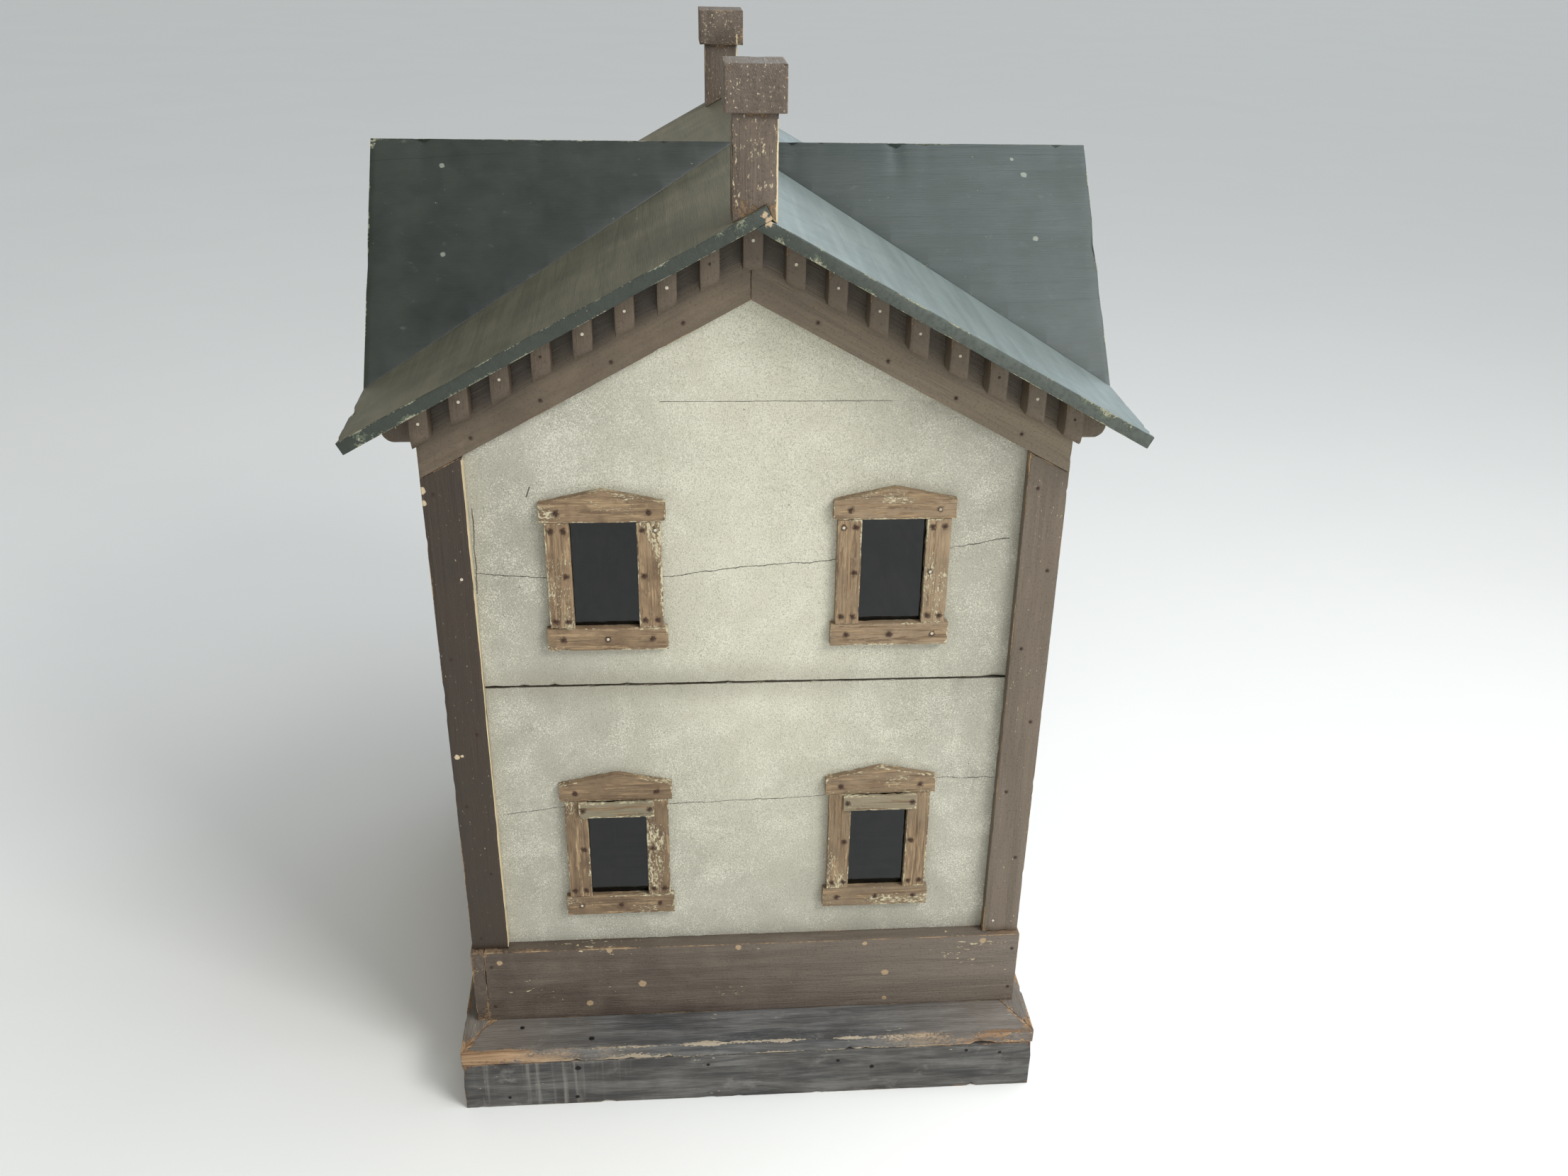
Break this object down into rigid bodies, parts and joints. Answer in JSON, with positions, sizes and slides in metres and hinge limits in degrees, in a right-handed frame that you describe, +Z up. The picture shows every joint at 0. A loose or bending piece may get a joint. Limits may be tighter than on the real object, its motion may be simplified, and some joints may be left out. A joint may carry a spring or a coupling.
{
  "type": "dollhouse",
  "caption": "Antique painted wooden dollhouse, cross-gable roof over two storeys and an attic, glazed windows, bracketed eaves, hinged rear doors.",
  "frame": {"origin": "middle of the rectangle that the house covers, on the surface it stands on", "axes": "+Z up, the front with the four windows looks towards -Y, +X to the right of someone inside looking out of the rear"},
  "size_m": [0.728, 0.723, 1.0763],
  "materials": {
    "bare_pine": "aged bare pine",
    "base_paint": "weathered black-brown paint",
    "chimney_paint": "worn brown paint with cream flecks",
    "dark_brown_paint": "worn oil paint on pine",
    "hinge_brass": "tarnished",
    "iron_nail": "rusted",
    "knob_wood": "polished dark wood",
    "ledge_paint": "weathered paint worn to tan wood on the edges",
    "roof_paint": "dark green satin paint",
    "sanded_wall_paint": "sand-textured pale grey-green paint",
    "strip_paint": "thin olive paint",
    "window_glass": "old plain glass",
    "window_trim_paint": "brown paint worn to the wood"
  },
  "bodies": {
    "house": {"attic_floor": "bare_pine", "base_front_board": "base_paint", "base_rear_board": "base_paint", "base_side_boards": "base_paint", "frame_hinge_leaves": "hinge_brass", "front_brackets": "dark_brown_paint", "front_chimney_cap": "chimney_paint", "front_chimney_stack": "chimney_paint", "front_corner_boards": "dark_brown_paint", "front_frieze_left": "dark_brown_paint", "front_frieze_right": "dark_brown_paint", "front_roof_left": "roof_paint", "front_roof_right": "roof_paint", "front_wall_gable_board": "sanded_wall_paint", "front_wall_lower_board": "sanded_wall_paint", "front_wall_upper_board": "sanded_wall_paint", "ground_floor": "bare_pine", "ground_partition": "bare_pine", "hinge_pins": "iron_nail", "ledge_front_board": "ledge_paint", "ledge_rear_board": "ledge_paint", "ledge_side_boards": "ledge_paint", "left_brackets": "dark_brown_paint", "left_wall_boards": "sanded_wall_paint", "rear_brackets": "dark_brown_paint", "rear_chimney_cap": "chimney_paint", "rear_chimney_stack": "chimney_paint", "rear_corner_boards": "dark_brown_paint", "rear_friezes": "dark_brown_paint", "rear_head_rail": "dark_brown_paint", "rear_roof_left": "roof_paint", "rear_roof_right": "roof_paint", "rear_wall_boards": "sanded_wall_paint", "right_brackets": "dark_brown_paint", "right_wall_boards": "sanded_wall_paint", "side_corner_boards": "dark_brown_paint", "side_friezes": "dark_brown_paint", "side_roof_left": "roof_paint", "side_roof_right": "roof_paint", "side_window_frames": "window_trim_paint", "skirting_front": "dark_brown_paint", "skirting_rear": "dark_brown_paint", "skirting_sides": "dark_brown_paint", "trim_nails": "iron_nail", "upper_floor": "bare_pine", "upper_partition": "bare_pine", "window_frame_lower_left": "window_trim_paint", "window_frame_lower_right": "window_trim_paint", "window_frame_upper_left": "window_trim_paint", "window_frame_upper_right": "window_trim_paint", "window_panes": "window_glass", "window_strips": "strip_paint"},
    "door_left": {"rear_door_left": "dark_brown_paint", "door_hinge_leaves_left": "hinge_brass", "door_knob_left": "knob_wood"},
    "door_right": {"rear_door_right": "dark_brown_paint", "door_hinge_leaves_right": "hinge_brass", "door_knob_right": "knob_wood", "turn_button_screw": "iron_nail"},
    "turn_button": {"turn_button": "knob_wood"}
  },
  "joints": [
    {"name": "left_door_hinge", "type": "hinge", "parent": "house", "child": "door_left", "pos_m": [-0.26425, 0.3025, 0.455], "axis": [0, 0, 1], "range_deg": [0, 170]},
    {"name": "right_door_hinge", "type": "hinge", "parent": "house", "child": "door_right", "pos_m": [0.26425, 0.3025, 0.455], "axis": [0, 0, -1], "range_deg": [0, 170]},
    {"name": "turn_button_pivot", "type": "hinge", "parent": "door_right", "child": "turn_button", "pos_m": [0.015, 0.303, 0.56], "axis": [0, 1, 0], "continuous": true}
  ]
}
